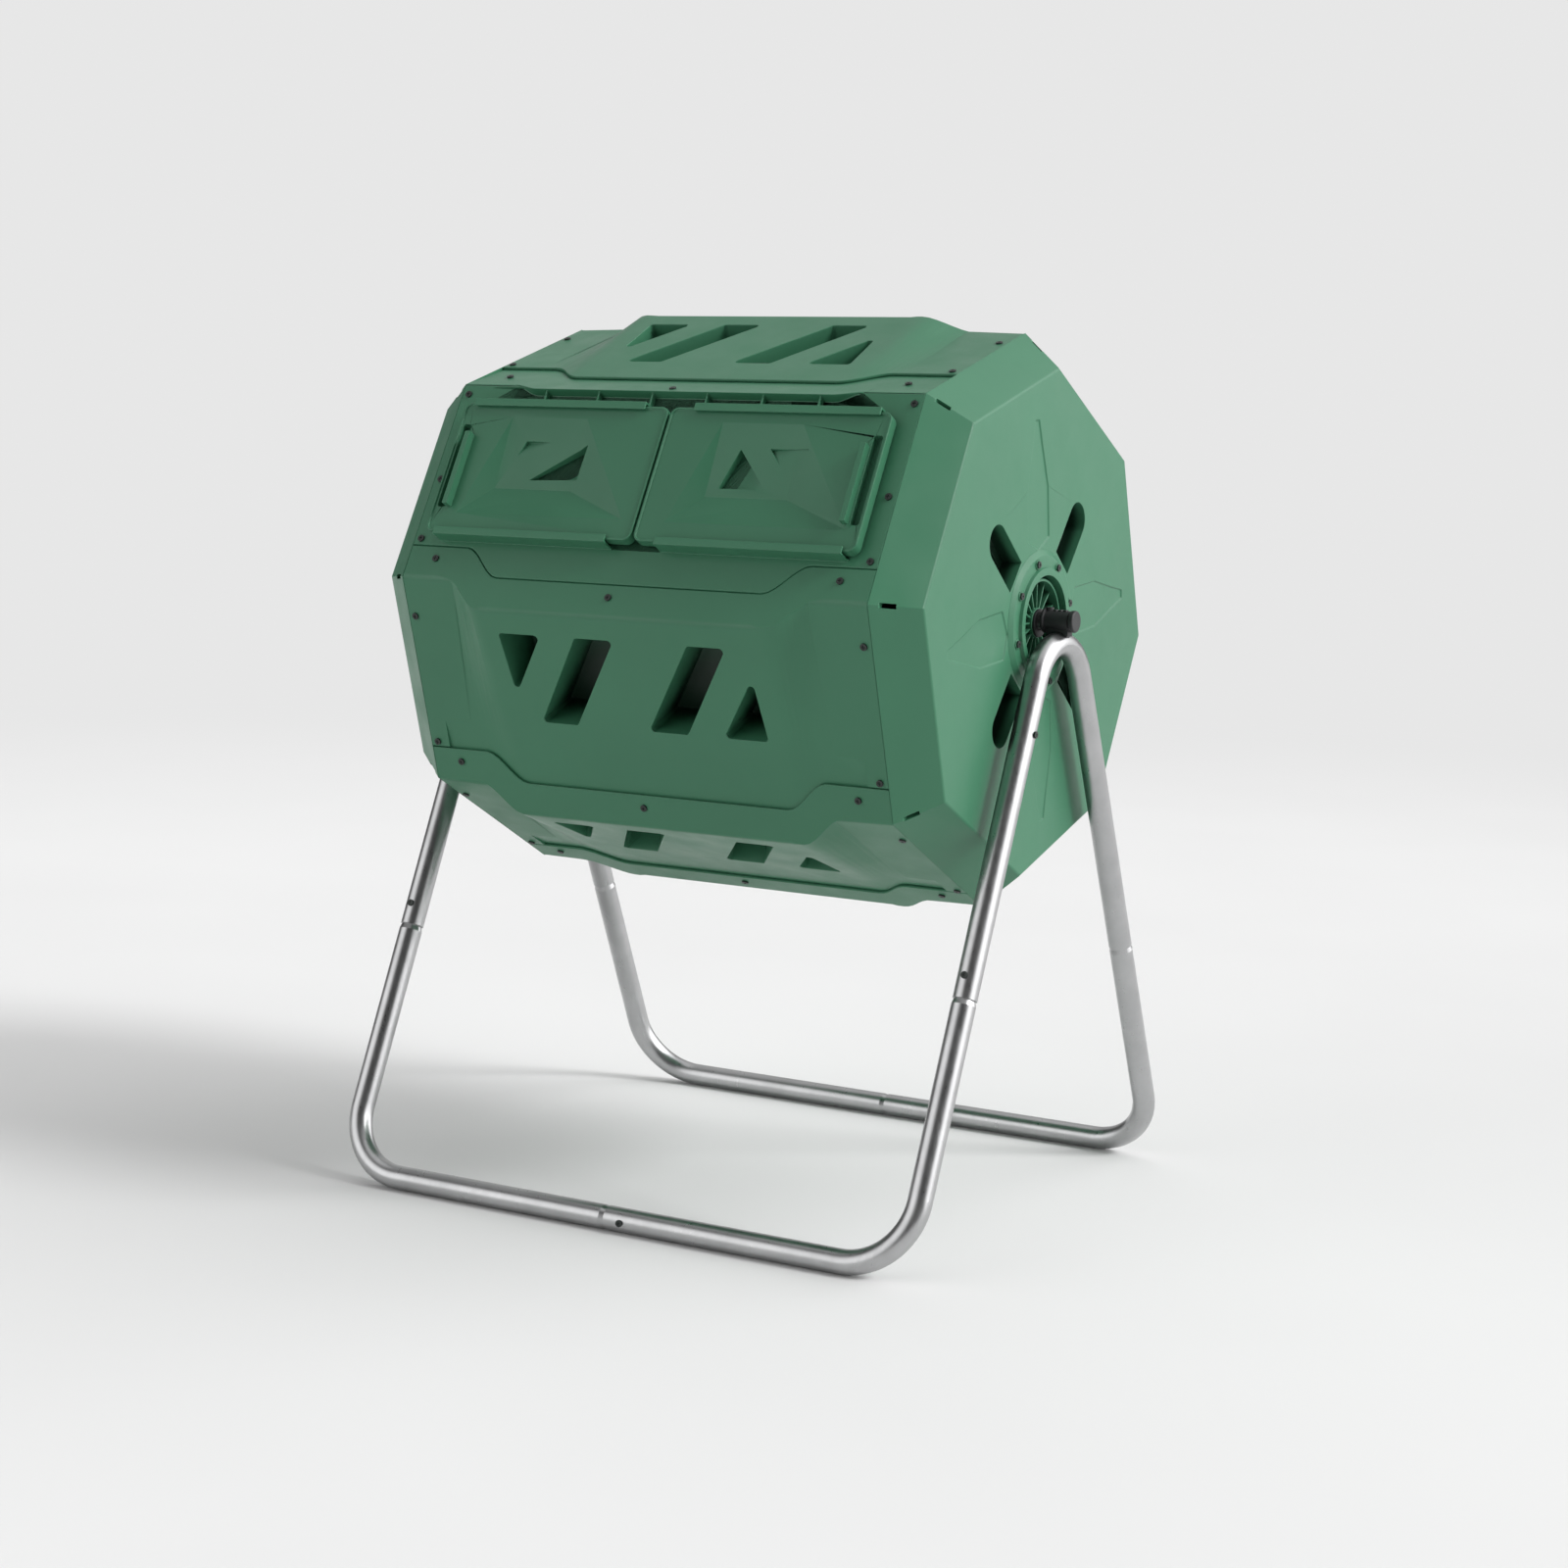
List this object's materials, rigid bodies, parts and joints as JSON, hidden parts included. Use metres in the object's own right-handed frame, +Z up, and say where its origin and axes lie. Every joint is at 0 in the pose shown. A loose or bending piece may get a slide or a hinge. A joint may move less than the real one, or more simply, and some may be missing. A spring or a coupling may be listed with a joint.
{
  "type": "compost tumbler",
  "caption": "Octagonal moulded compost drum with two sliding doors and vented panels, turning on an axle between two bent-tube stands.",
  "frame": {"origin": "on the ground, under the middle of the axle: the bottom centre of the whole tumbler", "axes": "+X along the axle towards the right-hand end, -Y out of the side with the doors, +Z up"},
  "size_m": [0.712, 0.6266, 0.9267],
  "materials": {
    "drum_plastic": "lightly grained moulded polypropylene",
    "door_plastic": "lightly grained moulded polypropylene",
    "black_plastic": "satin moulded plastic",
    "tube_steel": "galvanised, lightly brushed",
    "axle_steel": "galvanised",
    "screw_steel": "dark coated"
  },
  "bodies": {
    "stand": {"axle": "axle_steel", "leg_screws": "screw_steel", "bar_screws": "screw_steel", "axle_saddle_left": "black_plastic", "axle_saddle_right": "black_plastic", "axle_cap_left": "black_plastic", "axle_cap_right": "black_plastic", "upper_leg_left": "tube_steel", "upper_leg_right": "tube_steel", "lower_tube_front_left": "tube_steel", "lower_tube_front_right": "tube_steel", "lower_tube_back_left": "tube_steel", "lower_tube_back_right": "tube_steel"},
    "drum": {"vent_panel_1": "drum_plastic", "vent_panel_2": "drum_plastic", "vent_panel_3": "drum_plastic", "vent_panel_4": "drum_plastic", "vent_panel_5": "drum_plastic", "vent_panel_6": "drum_plastic", "vent_panel_7": "drum_plastic", "door_panel": "drum_plastic", "centre_divider": "drum_plastic", "panel_screws": "screw_steel", "end_cap_left": "drum_plastic", "end_cap_right": "drum_plastic", "hub_left": "drum_plastic", "hub_right": "drum_plastic", "hub_bush_left": "black_plastic", "hub_bush_right": "black_plastic", "hub_screws_left": "screw_steel", "hub_screws_right": "screw_steel"},
    "door_left": {"door_left": "door_plastic"},
    "door_right": {"door_right": "door_plastic"}
  },
  "joints": [
    {"name": "drum_turn", "type": "hinge", "parent": "stand", "child": "drum", "pos_m": [0, 0, 0.618], "axis": [1, 0, 0], "continuous": true},
    {"name": "door_left_slide", "type": "slide", "parent": "drum", "child": "door_left", "axis": [-1, 0, 0], "range_m": [0, 0.055]},
    {"name": "door_right_slide", "type": "slide", "parent": "drum", "child": "door_right", "axis": [1, 0, 0], "range_m": [0, 0.055]}
  ]
}
